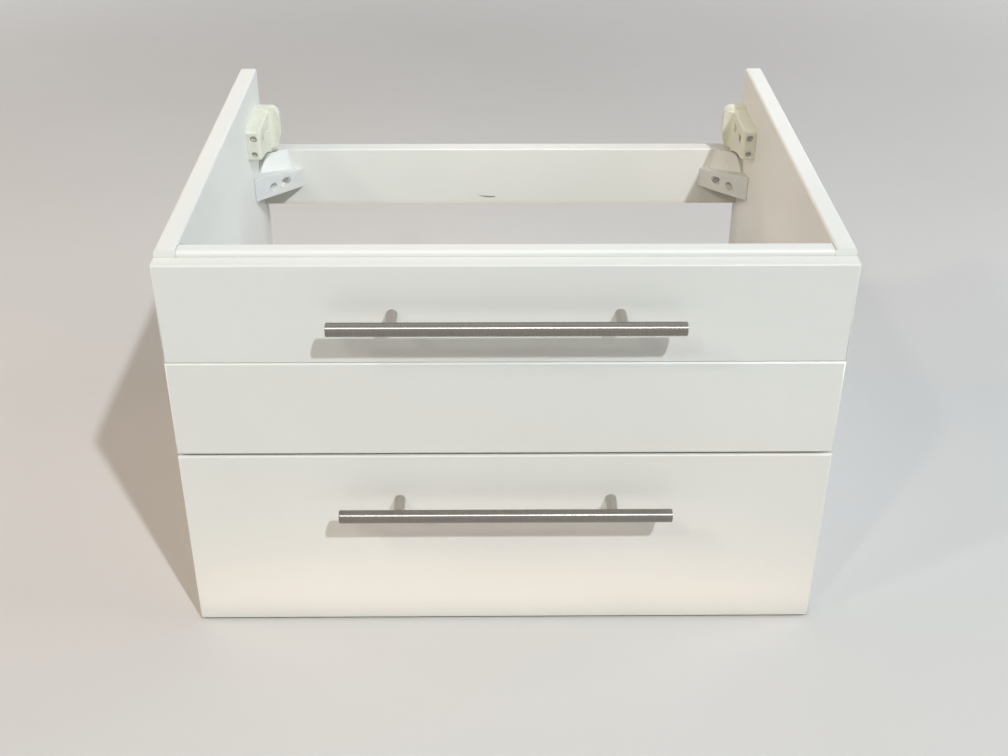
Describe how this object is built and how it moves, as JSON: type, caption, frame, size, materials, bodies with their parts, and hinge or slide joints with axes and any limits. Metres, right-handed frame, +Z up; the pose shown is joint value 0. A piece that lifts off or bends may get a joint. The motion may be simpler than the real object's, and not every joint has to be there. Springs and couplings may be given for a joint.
{
  "type": "wall-hung bathroom vanity base",
  "caption": "Wall-hung vanity base open at the top for a basin, with full-extension drawers, bar handles, adjustable wall hangers and a drawer cut out round the waste trap.",
  "frame": {"origin": "on the wall plane, at the middle of the width and at the underside of the carcass", "axes": "+X along the width to the right seen from the front, +Y to the wall, +Z up; the drawer fronts face -Y"},
  "size_m": [0.585, 0.5125, 0.386],
  "materials": {
    "white_board": "white satin foil on board",
    "drawer_board": "light grey melamine, satin",
    "dowel_wood": "bare beech",
    "white_plastic": "satin",
    "cream_plastic": "satin",
    "bumper": "translucent soft plastic",
    "zinc_alloy": "die-cast, matt",
    "zinced_steel": "zinc plated",
    "slide_steel": "zinc plated",
    "ball_steel": "bright",
    "handle_metal": "brushed lengthwise",
    "shield_plastic": "satin"
  },
  "bodies": {
    "cabinet": {"side_panel_left": "white_board", "side_panel_right": "white_board", "front_rail": "white_board", "back_rail": "white_board", "bottom_panel": "white_board", "wood_dowels": "dowel_wood", "corner_block_left": "white_plastic", "corner_block_right": "white_plastic", "panel_screws": "zinced_steel", "front_bumpers": "bumper", "hanger_housing_left": "cream_plastic", "hanger_housing_right": "cream_plastic", "upper_slide_rail_left": "slide_steel", "upper_slide_rail_right": "slide_steel", "lower_slide_rail_left": "slide_steel", "lower_slide_rail_right": "slide_steel"},
    "upper_drawer": {"upper_front": "white_board", "upper_handle_bar": "handle_metal", "upper_handle_posts": "handle_metal", "upper_handle_screws": "zinced_steel", "upper_box_front": "drawer_board", "upper_box_side_left": "drawer_board", "upper_box_side_right": "drawer_board", "upper_box_back_left": "drawer_board", "upper_box_back_right": "drawer_board", "upper_box_base": "drawer_board", "upper_front_screws": "zinced_steel", "upper_slide_runner_left": "slide_steel", "upper_slide_runner_right": "slide_steel", "upper_runner_screws": "zinced_steel", "trap_shield": "shield_plastic"},
    "lower_drawer": {"lower_front": "white_board", "lower_handle_bar": "handle_metal", "lower_handle_posts": "handle_metal", "lower_handle_screws": "zinced_steel", "lower_box_front": "drawer_board", "lower_box_side_left": "drawer_board", "lower_box_side_right": "drawer_board", "lower_box_back": "drawer_board", "lower_box_base": "drawer_board", "lower_front_screws": "zinced_steel", "lower_slide_runner_left": "slide_steel", "lower_slide_runner_right": "slide_steel", "lower_runner_screws": "zinced_steel"},
    "upper_slide_middles": {"upper_slide_middle_left": "slide_steel", "upper_slide_middle_right": "slide_steel"},
    "upper_outer_cages": {"upper_outer_ball_cages": "ball_steel"},
    "upper_inner_cages": {"upper_inner_ball_cages": "ball_steel"},
    "lower_slide_middles": {"lower_slide_middle_left": "slide_steel", "lower_slide_middle_right": "slide_steel"},
    "lower_outer_cages": {"lower_outer_ball_cages": "ball_steel"},
    "lower_inner_cages": {"lower_inner_ball_cages": "ball_steel"},
    "left_hanger_carriage": {"hanger_carriage_left": "zinc_alloy"},
    "left_hanger_hook": {"hanger_hook_left": "zinced_steel"},
    "left_height_screw": {"height_screw_left": "zinced_steel"},
    "left_depth_screw": {"depth_screw_left": "zinced_steel"},
    "right_hanger_carriage": {"hanger_carriage_right": "zinc_alloy"},
    "right_hanger_hook": {"hanger_hook_right": "zinced_steel"},
    "right_height_screw": {"height_screw_right": "zinced_steel"},
    "right_depth_screw": {"depth_screw_right": "zinced_steel"}
  },
  "joints": [
    {"name": "upper_drawer_slide", "type": "slide", "parent": "cabinet", "child": "upper_drawer", "axis": [0, -1, 0], "range_m": [0, 0.25]},
    {"name": "lower_drawer_slide", "type": "slide", "parent": "cabinet", "child": "lower_drawer", "axis": [0, -1, 0], "range_m": [0, 0.4]},
    {"name": "upper_middle_slide", "type": "slide", "parent": "cabinet", "child": "upper_slide_middles", "axis": [0, -1, 0], "range_m": [0, 0.125]},
    {"name": "upper_outer_cage_roll", "type": "slide", "parent": "cabinet", "child": "upper_outer_cages", "axis": [0, -1, 0], "range_m": [0, 0.0625]},
    {"name": "upper_inner_cage_roll", "type": "slide", "parent": "cabinet", "child": "upper_inner_cages", "axis": [0, -1, 0], "range_m": [0, 0.1875]},
    {"name": "lower_middle_slide", "type": "slide", "parent": "cabinet", "child": "lower_slide_middles", "axis": [0, -1, 0], "range_m": [0, 0.2]},
    {"name": "lower_outer_cage_roll", "type": "slide", "parent": "cabinet", "child": "lower_outer_cages", "axis": [0, -1, 0], "range_m": [0, 0.1]},
    {"name": "lower_inner_cage_roll", "type": "slide", "parent": "cabinet", "child": "lower_inner_cages", "axis": [0, -1, 0], "range_m": [0, 0.3]},
    {"name": "left_carriage_shift", "type": "slide", "parent": "cabinet", "child": "left_hanger_carriage", "axis": [0, 1, 0], "range_m": [-0.007, 0.0028]},
    {"name": "left_hook_lift", "type": "slide", "parent": "left_hanger_carriage", "child": "left_hanger_hook", "axis": [0, 0, 1], "range_m": [-0.0049, 0.0049]},
    {"name": "left_height_screw_turn", "type": "hinge", "parent": "cabinet", "child": "left_height_screw", "pos_m": [-0.2672, -0.1, 0.341], "axis": [0, 1, 0], "range_deg": [-2521, 2521]},
    {"name": "left_depth_screw_turn", "type": "hinge", "parent": "cabinet", "child": "left_depth_screw", "pos_m": [-0.2672, -0.1, 0.3235], "axis": [0, 1, 0], "range_deg": [-3601, 1441]},
    {"name": "right_carriage_shift", "type": "slide", "parent": "cabinet", "child": "right_hanger_carriage", "axis": [0, 1, 0], "range_m": [-0.007, 0.0028]},
    {"name": "right_hook_lift", "type": "slide", "parent": "right_hanger_carriage", "child": "right_hanger_hook", "axis": [0, 0, 1], "range_m": [-0.0049, 0.0049]},
    {"name": "right_height_screw_turn", "type": "hinge", "parent": "cabinet", "child": "right_height_screw", "pos_m": [0.2672, -0.1, 0.341], "axis": [0, 1, 0], "range_deg": [-2521, 2521]},
    {"name": "right_depth_screw_turn", "type": "hinge", "parent": "cabinet", "child": "right_depth_screw", "pos_m": [0.2672, -0.1, 0.3235], "axis": [0, 1, 0], "range_deg": [-3601, 1441]}
  ],
  "couplings": [
    {"joint": "upper_middle_slide", "follows": "upper_drawer_slide", "ratio": 0.5},
    {"joint": "upper_outer_cage_roll", "follows": "upper_drawer_slide", "ratio": 0.25},
    {"joint": "upper_inner_cage_roll", "follows": "upper_drawer_slide", "ratio": 0.75},
    {"joint": "lower_middle_slide", "follows": "lower_drawer_slide", "ratio": 0.5},
    {"joint": "lower_outer_cage_roll", "follows": "lower_drawer_slide", "ratio": 0.25},
    {"joint": "lower_inner_cage_roll", "follows": "lower_drawer_slide", "ratio": 0.75},
    {"joint": "left_depth_screw_turn", "follows": "left_carriage_shift", "rad_per_m": 8976},
    {"joint": "left_height_screw_turn", "follows": "left_hook_lift", "rad_per_m": 8976},
    {"joint": "right_depth_screw_turn", "follows": "right_carriage_shift", "rad_per_m": 8976},
    {"joint": "right_height_screw_turn", "follows": "right_hook_lift", "rad_per_m": 8976}
  ]
}
